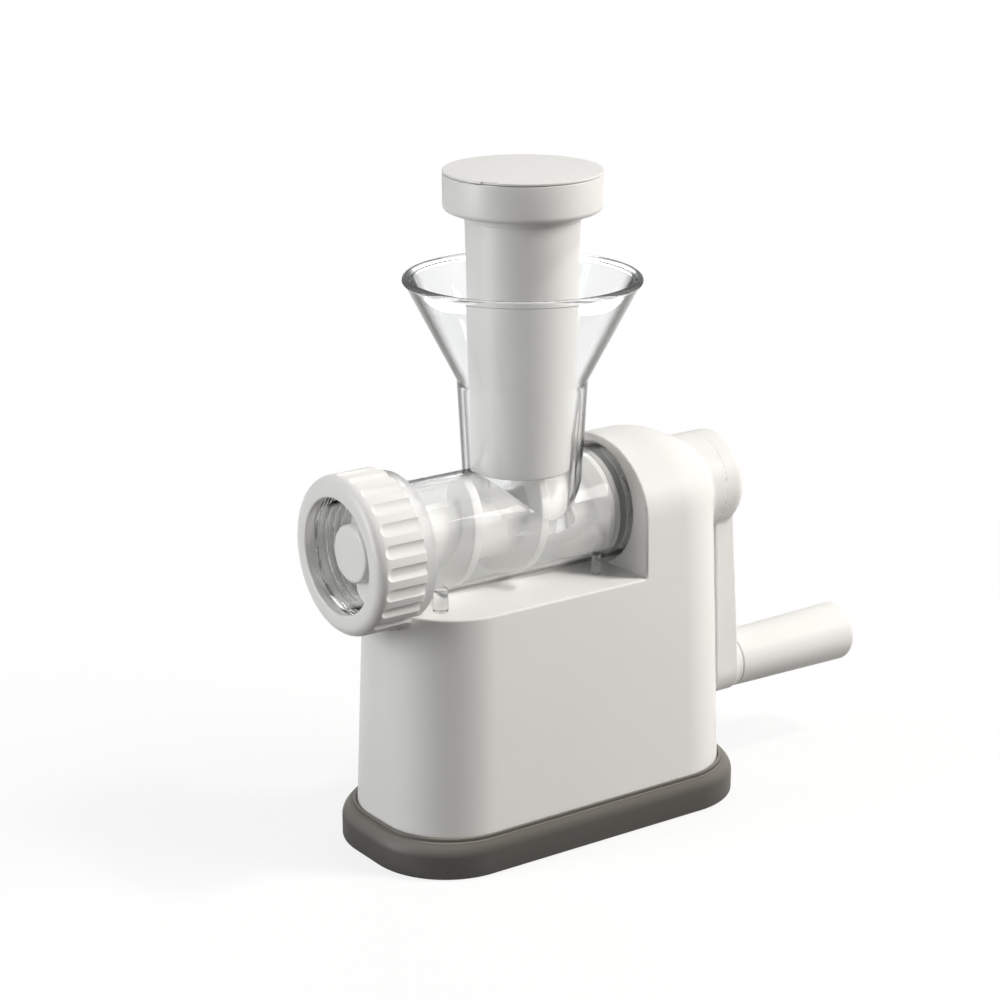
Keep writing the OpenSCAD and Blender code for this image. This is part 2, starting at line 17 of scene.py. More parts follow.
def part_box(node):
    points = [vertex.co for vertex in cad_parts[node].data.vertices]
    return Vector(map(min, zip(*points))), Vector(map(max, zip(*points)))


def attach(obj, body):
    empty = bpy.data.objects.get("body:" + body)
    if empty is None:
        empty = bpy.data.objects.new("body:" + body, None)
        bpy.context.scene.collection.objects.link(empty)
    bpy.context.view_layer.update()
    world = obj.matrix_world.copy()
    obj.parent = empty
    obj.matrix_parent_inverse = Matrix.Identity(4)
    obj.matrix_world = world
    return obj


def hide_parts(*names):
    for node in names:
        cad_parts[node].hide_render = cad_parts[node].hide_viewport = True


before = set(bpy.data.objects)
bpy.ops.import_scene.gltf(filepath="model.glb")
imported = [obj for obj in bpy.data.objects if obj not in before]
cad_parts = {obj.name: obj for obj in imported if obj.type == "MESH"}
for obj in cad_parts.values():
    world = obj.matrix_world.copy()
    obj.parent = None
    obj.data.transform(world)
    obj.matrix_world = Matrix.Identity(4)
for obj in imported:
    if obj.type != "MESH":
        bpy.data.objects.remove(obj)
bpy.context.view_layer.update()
MM = 0.001
print("nodes in the frame:", len(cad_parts))

# %% [markdown]
# ## Sizes
# The pieces must sit exactly where the frame has them, so the main sizes are read from the
# boxes of its nodes and kept in millimetres. Only what a box can't tell is written as a number.

# %% Read the sizes


def box_mm(node):
    """Lowest and highest corner of a frame node, in millimetres."""
    low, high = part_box(node)
    return np.array(low) / MM, np.array(high) / MM


body_low, body_high = box_mm("housing")
foot_high = box_mm("foot")[1]
nut_low, nut_high = box_mm("ring_nut")
barrel_low, barrel_high = box_mm("barrel")
screw_high = box_mm("auger")[1]
plunger_low, plunger_high = box_mm("pusher")
lid_low, lid_high = box_mm("pusher_lid")
crank_low, crank_high = box_mm("crank_arm")
grip_low, grip_high = box_mm("grip")
bush_low, bush_high = box_mm("front_bush")
seal_high = box_mm("auger_seal")[1]

AXIS_Z = (bush_low[2] + bush_high[2]) / 2
GRIP_Z = (grip_low[2] + grip_high[2]) / 2
CHUTE_X = (plunger_low[0] + plunger_high[0]) / 2
RIM_R, RIM_Z = barrel_high[1], barrel_high[2]
NUT_R = max(nut_high[1], nut_high[2] - AXIS_Z)

# Gaps: between faces that nearly touch, and between pieces that seat in each other
SEAT, FIT = 0.3, 0.2
# Barrel: its wall, its stop flange, its end wall, and how deep it sits in the tower
BARREL_WALL, FLANGE_T, FLANGE_R, END_WALL, TAIL_L = 1.9, 5.6, 27.8, 2.6, 10.0
INNER_R = seal_high[1] + FIT
BARREL_R = INNER_R + BARREL_WALL
FLANGE_X = nut_high[0] + SEAT + FLANGE_T
TOWER_X = barrel_high[0] - TAIL_L
WALL_X = seal_high[0] + SEAT
DECK_Z = AXIS_Z - BARREL_R - SEAT
# Crank: its hub, and the hole for the hexagon of the drive shaft
HUB_R, HUB_X = crank_high[1], crank_high[0] - 17.8
HEX_R = 5.87
print(f"axis {AXIS_Z:.1f}, grip {GRIP_Z:.1f}, chute {CHUTE_X:.1f}, tower {TOWER_X:.1f}, deck {DECK_Z:.1f}")

# %% [markdown]
# ## Small helpers
# A colour is written as sRGB hex, the way a paint chart gives it, and Blender wants it linear.
# One function adds a node to any tree, so that a material reads as a short list of nodes.

# %% Colour and node helpers


def colour(code):
    """Linear RGBA of an sRGB hex colour."""
    parts = [int(code[i:i + 2], 16) / 255 for i in (1, 3, 5)]
    return (*[c / 12.92 if c <= 0.04045 else ((c + 0.055) / 1.055) ** 2.4 for c in parts], 1.0)


def add(tree, kind, inputs=None, **settings):
    """Adds a node; an input is a value, or another node's socket to link."""
    node = tree.nodes.new(kind)
    for key, value in settings.items():
        setattr(node, key, value)
    for key, value in (inputs or {}).items():
        if isinstance(value, bpy.types.NodeSocket):
            tree.links.new(value, node.inputs[key])
        else:
            node.inputs[key].default_value = value
    return node


# %% [markdown]
# ## Camera
# The photograph was taken with a long lens from the front left and a little above. The angle,
# the distance and the lens were fitted to the outlines of the machine.

# %% Place the camera
AZIMUTH = math.radians(-35.08)
ELEVATION = math.radians(17.59)
LOOK_AT = Vector((-19.492, 0.0, 130.806)) * MM
DISTANCE = 1017.29 * MM
LENS = 97.33

back = Vector((math.sin(AZIMUTH) * math.cos(ELEVATION),
               -math.cos(AZIMUTH) * math.cos(ELEVATION), math.sin(ELEVATION)))
camera = bpy.data.objects.new("camera", bpy.data.cameras.new("camera"))
camera.data.sensor_width = 36
camera.data.lens = LENS
camera.data.clip_end = 50
camera.location = LOOK_AT + back * DISTANCE
camera.rotation_euler = back.to_track_quat("Z", "Y").to_euler()
bpy.context.scene.collection.objects.link(camera)
bpy.context.scene.camera = camera
print("camera at", [round(v, 3) for v in camera.location])

# %% [markdown]
# ## Light
# The photograph's shade lines are crisp and its tops are bright, so the key is one small warm
# lamp, high on the right. A stronger box lower on the right lights the long side, a box on the
# left lights the end with the nut, and the round corner between them stays darker. Weaker boxes
# high on the left, in front and behind lift what these leave dark. Only the box on the left is
# mirrored, because the others would show as hard bands in the clear barrel.

# %% Place the lamps


def softbox(name, side, height, width, length, level, code, distance=1.3):
    """Area lamp `side` degrees right of the camera; `level` is how bright it makes a white sheet."""
    turn = AZIMUTH + math.radians(side)
    tilt = math.radians(height)
    away = Vector((math.sin(turn) * math.cos(tilt), -math.cos(turn) * math.cos(tilt), math.sin(tilt)))
    lamp = bpy.data.lights.new(name, "AREA")
    lamp.shape = "RECTANGLE"
    lamp.size = width
    lamp.size_y = length
    lamp.energy = level * math.pi ** 2 * distance ** 2
    lamp.color = colour(code)[:3]
    holder = bpy.data.objects.new(name, lamp)
    holder.location = Vector((0, 0, 0.12)) + away * distance
    holder.rotation_euler = away.to_track_quat("Z", "Y").to_euler()
    bpy.context.scene.collection.objects.link(holder)
    return holder


key = softbox("key_right", 90, 60, 0.3, 0.3, 0.40, "#FFFCF8", 3.0)
mid_right = softbox("mid_right", 84, 28, 0.5, 0.5, 0.88, "#FFFBF7")
softbox("fill_left", -72, 12, 0.5, 0.8, 0.54, "#FFFFFF")
high_left = softbox("high_left", -75, 45, 0.5, 0.8, 0.15, "#FFFFFF")
front = softbox("front", 5, 22, 0.9, 0.9, 0.12, "#FFFFFF")
behind = softbox("behind", 172, 14, 0.9, 0.9, 0.42, "#FFFDFB")
for lamp in (key, mid_right, high_left, front, behind):
    lamp.visible_glossy = False

# %% [markdown]
# ## Surroundings
# The world is white to the camera and through clear plastic, about half as bright in mirror
# images, and gives almost no light. The floor glows white to the eye, a little less close to the
# machine, where its shadow shows. It throws back as little light as the dark table of a product
# studio, because the undersides in the photograph are quite dark.

# %% Build the world and the floor
AMBIENT, MIRRORED = 0.02, 0.55
WHITE = colour("#FFFFFF")
FLOOR_HALF = 6.0


def larger(tree, a, b):
    """The larger of two values."""
    return add(tree, "ShaderNodeMath", {0: a, 1: b}, operation="MAXIMUM").outputs[0]


def scaled(tree, a, b):
    """One value times another."""
    return add(tree, "ShaderNodeMath", {0: a, 1: b}, operation="MULTIPLY").outputs[0]


world = bpy.data.worlds.new("studio")
bpy.context.scene.world = world
world.use_nodes = True
tree = world.node_tree
tree.nodes.clear()
ray = add(tree, "ShaderNodeLightPath").outputs
ambient = add(tree, "ShaderNodeBackground", {"Color": WHITE, "Strength": AMBIENT})
bright = add(tree, "ShaderNodeBackground", {"Color": WHITE, "Strength": 1.0})
seen = larger(tree, ray["Is Camera Ray"], ray["Is Transmission Ray"])
seen = larger(tree, seen, scaled(tree, ray["Is Glossy Ray"], MIRRORED))
mix = add(tree, "ShaderNodeMixShader", {0: seen, 1: ambient.outputs[0], 2: bright.outputs[0]})
add(tree, "ShaderNodeOutputWorld", {"Surface": mix.outputs[0]})

floor_mesh = bpy.data.meshes.new("floor")
corners = [(x * FLOOR_HALF, y * FLOOR_HALF, 0) for x, y in ((-1, -1), (1, -1), (1, 1), (-1, 1))]
floor_mesh.from_pydata(corners, [], [(0, 1, 2, 3)])
floor = bpy.data.objects.new("floor", floor_mesh)
floor.location.z = -0.0002
bpy.context.scene.collection.objects.link(floor)
paper = bpy.data.materials.new("seamless_paper")
paper.use_nodes = True
tree = paper.node_tree
tree.nodes.clear()
ray = add(tree, "ShaderNodeLightPath").outputs
tone = add(tree, "ShaderNodeMix", {"Factor": ray["Is Diffuse Ray"], "A": colour("#F2F2F1"),
                                   "B": colour("#4E4C4A")}, data_type="RGBA")
matt = add(tree, "ShaderNodeBsdfDiffuse", {"Color": tone.outputs["Result"]})
glow = add(tree, "ShaderNodeEmission", {"Color": WHITE, "Strength": 1.0})
here = add(tree, "ShaderNodeTexCoord")
far = add(tree, "ShaderNodeVectorMath", {0: here.outputs["Object"]}, operation="LENGTH")
fade = add(tree, "ShaderNodeMapRange", {"Value": far.outputs["Value"], "From Min": 0.08, "From Max": 0.45,
                                       "To Min": 0.82, "To Max": 1.0})
seen = larger(tree, ray["Is Camera Ray"], ray["Is Transmission Ray"])
share = scaled(tree, seen, fade.outputs[0])
mix = add(tree, "ShaderNodeMixShader", {0: share, 1: matt.outputs[0], 2: glow.outputs[0]})
add(tree, "ShaderNodeOutputMaterial", {"Surface": mix.outputs[0]})
floor.data.materials.append(paper)

bpy.context.scene.view_settings.view_transform = "Standard"

# %% [markdown]
# ## Finishes
# Only a few materials make up the machine. Each starts from what the real one is: moulded ABS
# with a satin gloss, clear styrene, a soft thermoplastic rubber, turned steel. Fine noise gives
# the grain of the mould, in sizes that such surfaces have. The styrene comes in three states:
# clear for the funnel, a little hazy for the barrel, and frosted for its thick stop flange.

# %% Make the materials


def material(name):
    """Empty material with one principled shader; returns it with its tree and shader."""
    made = bpy.data.materials.new(name)
    made.use_nodes = True
    nodes = made.node_tree
    nodes.nodes.clear()
    shader = add(nodes, "ShaderNodeBsdfPrincipled")
    add(nodes, "ShaderNodeOutputMaterial", {"Surface": shader.outputs[0]})
    return made, nodes, shader


def grain(nodes, size_mm, depth_mm, detail=2.0):
    """Bump from noise whose grains are about size_mm wide."""
    here = add(nodes, "ShaderNodeTexCoord")
    noise = add(nodes, "ShaderNodeTexNoise", {"Vector": here.outputs["Object"], "Scale": 1 / (size_mm * MM),
                                             "Detail": detail})
    return add(nodes, "ShaderNodeBump", {"Height": noise.outputs["Fac"], "Distance": depth_mm * MM,
                                         "Strength": 1.0})


def mottled(nodes, shader, low, high, size_mm, centre, swing):
    """Colour and roughness that wander a little over the surface."""
    here = add(nodes, "ShaderNodeTexCoord")
    noise = add(nodes, "ShaderNodeTexNoise", {"Vector": here.outputs["Object"], "Scale": 1 / (size_mm * MM),
                                             "Detail": 3.0})
    tint = add(nodes, "ShaderNodeMix", {"Factor": noise.outputs["Fac"], "A": colour(low), "B": colour(high)},
               data_type="RGBA")
    nodes.links.new(tint.outputs["Result"], shader.inputs["Base Color"])
    rough = add(nodes, "ShaderNodeMapRange", {"Value": noise.outputs["Fac"], "To Min": centre - swing,
                                              "To Max": centre + swing})
    nodes.links.new(rough.outputs[0], shader.inputs["Roughness"])


def moulded_abs(name, low="#E8E8E6", high="#EDEDEB", rough=0.34):
    """Injection moulded ABS: opaque neutral white with a satin gloss and a very fine grain."""
    made, nodes, shader = material(name)
    mottled(nodes, shader, low, high, 40, rough, 0.03)
    shader.inputs["IOR"].default_value = 1.54
    nodes.links.new(grain(nodes, 0.9, 0.003).outputs[0], shader.inputs["Normal"])
    return made


def clear_styrene(name, edge_shade="#131517", rough=0.0, see_through=0.96, body="#FAFBFB"):
    """Clear injection moulded styrene: glassy and bright when seen through, with painted shade that darkens
    its colour where it is seen edge-on.
    """
    made, nodes, shader = material(name)
    shader.inputs["Roughness"].default_value = rough
    shader.inputs["IOR"].default_value = 1.42
    shader.inputs["Transmission Weight"].default_value = see_through
    wave = grain(nodes, 14, 0.006, 1.0)
    nodes.links.new(wave.outputs[0], shader.inputs["Normal"])
    # painted shade: the colour turns to the edge colour where the surface is seen edge-on, standing in for
    # the dark surroundings that real edges refract
    edge = add(nodes, "ShaderNodeLayerWeight", {"Blend": 0.5})
    steep = add(nodes, "ShaderNodeMapRange", {"Value": edge.outputs["Facing"], "From Min": 0.54,
                                              "From Max": 0.76}, interpolation_type="SMOOTHSTEP")
    tint = add(nodes, "ShaderNodeMix", {"Factor": steep.outputs[0], "A": colour(body), "B": colour(edge_shade)},
               data_type="RGBA")
    nodes.links.new(tint.outputs["Result"], shader.inputs["Base Color"])
    # shadow and bounced light pass straight through, so that what is inside isn't dark
    ray = add(nodes, "ShaderNodeLightPath").outputs
    light = larger(nodes, ray["Is Shadow Ray"], ray["Is Diffuse Ray"])
    clear = add(nodes, "ShaderNodeBsdfTransparent", {"Color": WHITE})
    both = add(nodes, "ShaderNodeMixShader", {0: light, 1: shader.outputs[0], 2: clear.outputs[0]})
    ending = next(node for node in nodes.nodes if node.type == "OUTPUT_MATERIAL")
    nodes.links.new(both.outputs[0], ending.inputs["Surface"])
    return made


def soft_rubber(name, low, high, top_light_tint=None):
    """Moulded thermoplastic rubber: matt, with a fine spark-eroded grain, and a painted highlight that
    lightens what faces up.
    """
    made, nodes, shader = material(name)
    mottled(nodes, shader, low, high, 18, 0.5, 0.06)
    # painted highlight: faces that point up get a lighter colour, as if lit from above
    if top_light_tint:
        tint = shader.inputs["Base Color"].links[0].from_socket
        normal = add(nodes, "ShaderNodeNewGeometry").outputs["Normal"]
        facing = add(nodes, "ShaderNodeSeparateXYZ", {"Vector": normal})
        lying = add(nodes, "ShaderNodeMapRange", {"Value": facing.outputs["Z"], "From Min": 0.1,
                                                  "From Max": 0.9})
        lit_from_above = add(nodes, "ShaderNodeMix", {"Factor": lying.outputs[0], "A": tint, "B": colour(top_light_tint)},
                    data_type="RGBA")
        nodes.links.new(lit_from_above.outputs["Result"], shader.inputs["Base Color"])
    shader.inputs["IOR"].default_value = 1.5
    nodes.links.new(grain(nodes, 0.7, 0.02).outputs[0], shader.inputs["Normal"])
    return made


def turned_steel(name):
    """Turned stainless steel: bright, with fine rings round the axis of the lathe."""
    made, nodes, shader = material(name)
    mottled(nodes, shader, "#B4B6B8", "#C9CACC", 6, 0.3, 0.06)
    shader.inputs["Metallic"].default_value = 1.0
    here = add(nodes, "ShaderNodeTexCoord")
    rings = add(nodes, "ShaderNodeTexWave", {"Vector": here.outputs["Object"], "Scale": 1 / (0.8 * MM) / 10,
                                             "Distortion": 0.4}, bands_direction="X")
    bump = add(nodes, "ShaderNodeBump", {"Height": rings.outputs["Fac"], "Distance": 0.01 * MM})
    nodes.links.new(bump.outputs[0], shader.inputs["Normal"])
    return made


def bearing_acetal(name):
    """Machined acetal: waxy, off-white, a little translucent."""
    made, nodes, shader = material(name)
    mottled(nodes, shader, "#D8D5CB", "#DFDCD3", 12, 0.42, 0.05)
    nodes.links.new(grain(nodes, 1.2, 0.004).outputs[0], shader.inputs["Normal"])
    return made


SHELL = moulded_abs("satin_abs_shell")
SMALL = moulded_abs("satin_abs_small_parts", rough=0.36)
CLEAR = clear_styrene("clear_styrene")
HAZY = clear_styrene("hazy_styrene", see_through=0.82)
# the frosted flange's greyer edge colour is painted shade too
FROSTED = clear_styrene("frosted_styrene", edge_shade="#B4B7B8", rough=0.3, see_through=0.4, body="#E2E3E3")
# the foot's tint for up-facing faces is a painted highlight
SOLE_RUBBER = soft_rubber("tpr_foot", "#484743", "#4E4C48", top_light_tint="#7C7972")
SEAL = soft_rubber("silicone_seal", "#C9C8C4", "#D2D1CD")
STEEL = turned_steel("turned_stainless_steel")
ACETAL = bearing_acetal("machined_acetal")
print("materials:", len(bpy.data.materials))

# %% [markdown]
# ## Making pieces
# Three ways cover the whole machine. Round pieces are turned from a profile whose corners are
# rounded first, as on a drawing. Shapes with blends in many directions, such as the body, are
# described as a signed distance, which makes every fillet one line of maths, and then skinned.
# What repeats is made with Geometry Nodes.

# %% Piece helpers


def new_object(name, mesh):
    """Puts a mesh into the scene as an object."""
    made = bpy.data.objects.new(name, mesh)
    bpy.context.scene.collection.objects.link(made)
    return made


def dress(piece, body, nodes, finish, sharp=35):
    """Gives a finished piece its finish and its place in the frame."""
    piece.data.materials.clear()
    piece.data.materials.append(finish)
    if sharp:
        piece.data.shade_smooth()
        piece.data.set_sharp_from_angle(angle=math.radians(sharp))
    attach(piece, body)
    if nodes:
        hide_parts(*nodes)
    print(f"{piece.name}: {len(piece.data.polygons)} faces")
    return piece


def rounded(corners, step=12):
    """Outline through corners (a, b) or (a, b, radius); a radius rounds that corner with an arc."""
    out = []
    count = len(corners)
    for i, corner in enumerate(corners):
        here = np.array(corner[:2], float)
        radius = corner[2] if len(corner) > 2 else 0
        if radius <= 0:
            out.append(here)
            continue
        before = np.array(corners[i - 1][:2], float) - here
        after = np.array(corners[(i + 1) % count][:2], float) - here
        before /= np.linalg.norm(before)
        after /= np.linalg.norm(after)
        turn = math.pi - math.acos(max(-1, min(1, before @ after)))
        if turn < 0.01:
            out.append(here)
            continue
        reach = radius * math.tan(turn / 2)
        middle = here + (before + after) / np.linalg.norm(before + after) * radius / math.cos(turn / 2)
        start = here + before * reach - middle
        side = 1 if start[1] * before[0] - start[0] * before[1] > 0 else -1
        pieces = max(2, math.ceil(math.degrees(turn) / step))
        for j in range(pieces + 1):
            a = side * turn * j / pieces
            out.append(middle + (start[0] * math.cos(a) - start[1] * math.sin(a),
                                 start[0] * math.sin(a) + start[1] * math.cos(a)))
    return out


def turned(name, outline, axis="x", centre=(0.0, 0.0), around=160):
    """Turns a closed outline of (radius, place) round an axis and returns the mesh in metres."""
    rings = []
    points = []
    for r, h in outline:
        if r < 1e-6:
            rings.append([len(points)] * around)
            angles = [0.0]
        else:
            rings.append(list(range(len(points), len(points) + around)))
            angles = [2 * math.pi * k / around for k in range(around)]
        for a in angles:
            u, v = r * math.cos(a), r * math.sin(a)
            spot = (h, centre[0] + u, centre[1] + v) if axis == "x" else (centre[0] + u, centre[1] + v, h)
            points.append([c * MM for c in spot])
    faces = []
    for i, ring in enumerate(rings):
        following = rings[(i + 1) % len(rings)]
        for k in range(around):
            n = (k + 1) % around
            face = list(dict.fromkeys((ring[k], ring[n], following[n], following[k])))
            if len(face) > 2:
                faces.append(face)
    mesh = bpy.data.meshes.new(name)
    mesh.from_pydata(points, [], faces)
    outward(mesh)
    return mesh


def outward(mesh):
    """Turns all faces outwards."""
    work = bmesh.new()
    work.from_mesh(mesh)
    bmesh.ops.remove_doubles(work, verts=work.verts, dist=1e-7)
    bmesh.ops.recalc_face_normals(work, faces=work.faces)
    work.to_mesh(mesh)
    work.free()


def applied(piece):
    """Applies the modifiers of a piece to its mesh."""
    graph = bpy.context.evaluated_depsgraph_get()
    mesh = bpy.data.meshes.new_from_object(piece.evaluated_get(graph))
    piece.modifiers.clear()
    piece.data = mesh
    return piece


def combine(piece, other, how):
    """Exact boolean of two meshes; the other one is used up."""
    tool = new_object("tool", other)
    step = piece.modifiers.new("combine", "BOOLEAN")
    step.operation = how
    step.solver = "EXACT"
    step.object = tool
    applied(piece)
    bpy.data.objects.remove(tool)
    return piece


# %% [markdown]
# ## Distances
# A distance is negative inside a solid. Two of them meet or join with a round edge, and the
# surface where the result is zero is meshed.

# %% Distance helpers


def meet(a, b, radius):
    """Where both solids are, with a round edge."""
    u = np.maximum(a + radius, 0)
    v = np.maximum(b + radius, 0)
    return np.minimum(-radius, np.maximum(a, b)) + np.hypot(u, v)


def join(a, b, radius):
    """Either solid, with a fillet between them."""
    return -meet(-a, -b, radius)


def slab_outline(x, y, half_l, half_w, radius):
    """Distance to a rectangle with round corners."""
    u = np.abs(x) - (half_l - radius)
    v = np.abs(y) - (half_w - radius)
    return np.hypot(np.maximum(u, 0), np.maximum(v, 0)) + np.minimum(np.maximum(u, v), 0) - radius


def round_bar(x, y, z, radius, start, end, front=0.5, rear=0.5, height=AXIS_Z):
    """Distance to a cylinder along x, with its two edges rounded."""
    side = np.hypot(y, z - height) - radius
    return meet(meet(side, start - x, front), x - end, rear)


def skin(name, field, low, high, cell):
    """Meshes the surface where the field is zero, with one vertex in each cell that it crosses."""
    ticks = [np.arange(a - 1.5 * cell, b + 2.5 * cell, cell) for a, b in zip(low, high)]
    x, y, z = np.meshgrid(*ticks, indexing="ij")
    inside = field(x, y, z) < 0
    count = sum(inside[i:i - 1 or None, j:j - 1 or None, k:k - 1 or None].astype(int)
                for i in (0, 1) for j in (0, 1) for k in (0, 1))
    mixed = (count > 0) & (count < 8)
    index = np.full(mixed.shape, -1)
    index[mixed] = np.arange(mixed.sum())
    where = np.argwhere(mixed)
    points = np.stack([tick[0] + (cells + 0.5) * cell for tick, cells in zip(ticks, where.T)], 1)
    faces = []
    for axis in range(3):
        lower = np.take(inside, range(inside.shape[axis] - 1), axis)
        upper = np.take(inside, range(1, inside.shape[axis]), axis)
        i, j, k = np.argwhere(lower != upper).T
        spot = [i, j, k]
        p, q = [a for a in range(3) if a != axis]
        ring = []
        for dp, dq in ((1, 1), (0, 1), (0, 0), (1, 0)):
            at = [s.copy() for s in spot]
            at[p] = at[p] - dp
            at[q] = at[q] - dq
            ring.append(index[tuple(at)])
        ring = np.stack(ring, 1)
        flip = lower[i, j, k] if axis != 1 else ~lower[i, j, k]
        ring[~flip] = ring[~flip][:, ::-1]
        faces.append(ring)
    faces = np.concatenate(faces)
    for turn in range(4):
        if turn:
            points = points + 0.6 * relax(points, faces)
        for again in range(3):
            value, slope = measured(field, points)
            pull = value[:, None] * slope / np.maximum((slope ** 2).sum(1), 0.04)[:, None]
            points = points - np.clip(pull, -cell, cell)
    slope = measured(field, points)[1]
    mesh = bpy.data.meshes.new(name)
    mesh.from_pydata(points * MM, [], faces.tolist())
    mesh.shade_smooth()
    normals = slope / np.linalg.norm(slope, axis=1)[:, None]
    mesh.normals_split_custom_set_from_vertices(normals)
    return mesh


def measured(field, points):
    """Value and slope of a field at points."""
    h = 0.02
    x, y, z = points.T
    slope = np.stack([field(x + h, y, z) - field(x - h, y, z), field(x, y + h, z) - field(x, y - h, z),
                      field(x, y, z + h) - field(x, y, z - h)], 1) / (2 * h)
    return field(x, y, z), slope


def relax(points, faces):
    """How far each vertex is from the middle of its neighbours."""
    total = np.zeros_like(points)
    number = np.zeros(len(points))
    for a, b in ((0, 1), (1, 2), (2, 3), (3, 0)):
        for p, q in ((a, b), (b, a)):
            np.add.at(total, faces[:, p], points[faces[:, q]])
            np.add.at(number, faces[:, p], 1)
    return total / np.maximum(number, 1)[:, None] - points


# %% [markdown]
# ## Body
# The body is one moulding: drafted sides, a flat deck and a tower with an arched top that draws
# in towards the crank. The flat faces are plain planes, so the whole form is a few distances
# that meet with small round edges.

# %% Body shell


END_DRAFT, SIDE_DRAFT = math.radians(1.6), math.radians(1.4)
BODY_R, DOME_R = 29.0, 33.0
ARCH_H = body_high[2] - AXIS_Z
FRONT_BUSH_R, REAR_BUSH_R = 8.45, 11.25
BODY_CELL, CRANK_CELL = 0.95, 0.7


def half_length(z):
    """Half length of the body at a height."""
    return -body_low[0] - (np.minimum(z, AXIS_Z) - body_low[2]) * math.tan(END_DRAFT)


def half_width(z):
    """Half width of the body at a height."""
    return body_high[1] - (np.minimum(z, AXIS_Z) - body_low[2]) * math.tan(SIDE_DRAFT)


def body_envelope(x, y, z):
    """Drafted sides up to the axis, then an arch that draws in at the ends."""
    half_l, half_w, corner = half_length(z), half_width(z), BODY_R
    low = slab_outline(x, y, half_l, half_w, corner)
    along = np.maximum(np.abs(x) - (half_l - DOME_R), 0)
    across = np.abs(y)
    middle_x = DOME_R - corner
    middle_y = half_w - corner
    by_side = across / half_w
    by_end = along / DOME_R
    spread = middle_x * middle_x + middle_y * middle_y - corner ** 2
    shared = along * middle_x + across * middle_y
    root = np.sqrt(np.maximum(shared * shared - spread * (along * along + across * across), 0))
    by_corner = (shared - root) / spread
    by_curve = np.where(across <= middle_y * by_end, by_end, by_corner)
    share = np.where(along <= middle_x * by_side, by_side, by_curve)
    size = np.hypot(share, np.maximum(z - AXIS_Z, 0) / ARCH_H)
    high = (size - 1) * np.minimum(half_w, ARCH_H)
    return np.where(z > AXIS_Z, high, low)


def body_field(x, y, z):
    """The envelope with its deck, and room for nut, flange, barrel and bushes."""
    h = 0.05
    shell = body_envelope(x, y, z)
    slope = np.sqrt(sum(((body_envelope(x + h * dx, y + h * dy, z + h * dz)
                          - body_envelope(x - h * dx, y - h * dy, z - h * dz)) / (2 * h)) ** 2
                        for dx, dy, dz in ((1, 0, 0), (0, 1, 0), (0, 0, 1))))
    shell = shell / np.maximum(slope, 0.2)
    shell = meet(shell, body_low[2] - z, 0.4)
    step = join(z - DECK_Z, TOWER_X - x, 0.4)
    solid = meet(shell, step, 0.7)
    nut_room = join(round_bar(x, y, z, NUT_R + 0.6, -120, nut_high[0] + 0.6),
                    round_bar(x, y, z, FLANGE_R + 0.3, -120, FLANGE_X + 0.3), 0.3)
    solid = meet(solid, -nut_room, 0.5)
    socket = join(round_bar(x, y, z, BARREL_R + 0.2, TOWER_X - 5, barrel_high[0] + 0.3),
                  round_bar(x, y, z, BARREL_R + 1.1, TOWER_X - 5, TOWER_X + 1.4), 0.2)
    solid = meet(solid, -socket, 0.35)
    solid = np.maximum(solid, -round_bar(x, y, z, FRONT_BUSH_R, TOWER_X, barrel_high[0] + 6.3))
    boss = round_bar(x, y, z, HUB_R, 40, body_high[0], rear=0.4)
    solid = join(solid, boss, 1.2)
    return np.maximum(solid, -round_bar(x, y, z, REAR_BUSH_R, 60, body_high[0] + 5))


shell = new_object("body_shell", skin("body_shell", body_field, body_low, body_high, BODY_CELL))
dress(shell, "body", ["housing"], SHELL, sharp=0)

# %% [markdown]
# ## Foot
# The foot is a soft rubber tray that the body is pressed into. Its skirt flares below a round
# shoulder, and a thin bead runs round its lip. One profile is carried round the body's outline.

# %% Foot tray


def carried_round(name, profile, steps=20):
    """Carries a profile of (half length, half width, corner radius, height) round an oblong."""
    points, rings = [], []
    angles = [90 * q + 90 * s / steps for q in range(4) for s in range(steps + 1)]
    signs = [((1, 1), (-1, 1), (-1, -1), (1, -1))[q] for q in range(4) for s in range(steps + 1)]
    for half_l, half_w, radius, height in profile:
        radius = min(radius, half_w)
        rings.append(list(range(len(points), len(points) + len(angles))))
        for a, (sx, sy) in zip(angles, signs):
            a = math.radians(a)
            points.append(((sx * (half_l - radius) + radius * math.cos(a)) * MM,
                           (sy * (half_w - radius) + radius * math.sin(a)) * MM, height * MM))
    faces = [rings[0][::-1], rings[-1]]
    for low, high in zip(rings, rings[1:]):
        for i in range(len(low)):
            after = (i + 1) % len(low)
            faces.append((low[i], low[after], high[after], high[i]))
    mesh = bpy.data.meshes.new(name)
    mesh.from_pydata(points, [], faces)
    outward(mesh)
    return mesh


FOOT_H = foot_high[2]
SOLE = 4.5
LIP = 0.8
SHOULDER = 7.0
FLARE_L = foot_high[0] - half_length(FOOT_H) - LIP
FLARE_W = foot_high[1] - half_width(FOOT_H) - LIP
HEEL = 0.9


def foot_ring(share, step, height):
    """Half length, half width and corner radius of the foot: a share of the flare, then a step."""
    half_l = half_length(FOOT_H) + LIP + share * FLARE_L + step
    half_w = half_width(FOOT_H) + LIP + share * FLARE_W + step
    return half_l, half_w, BODY_R + (LIP + share * FLARE_W) / 2 + step, height


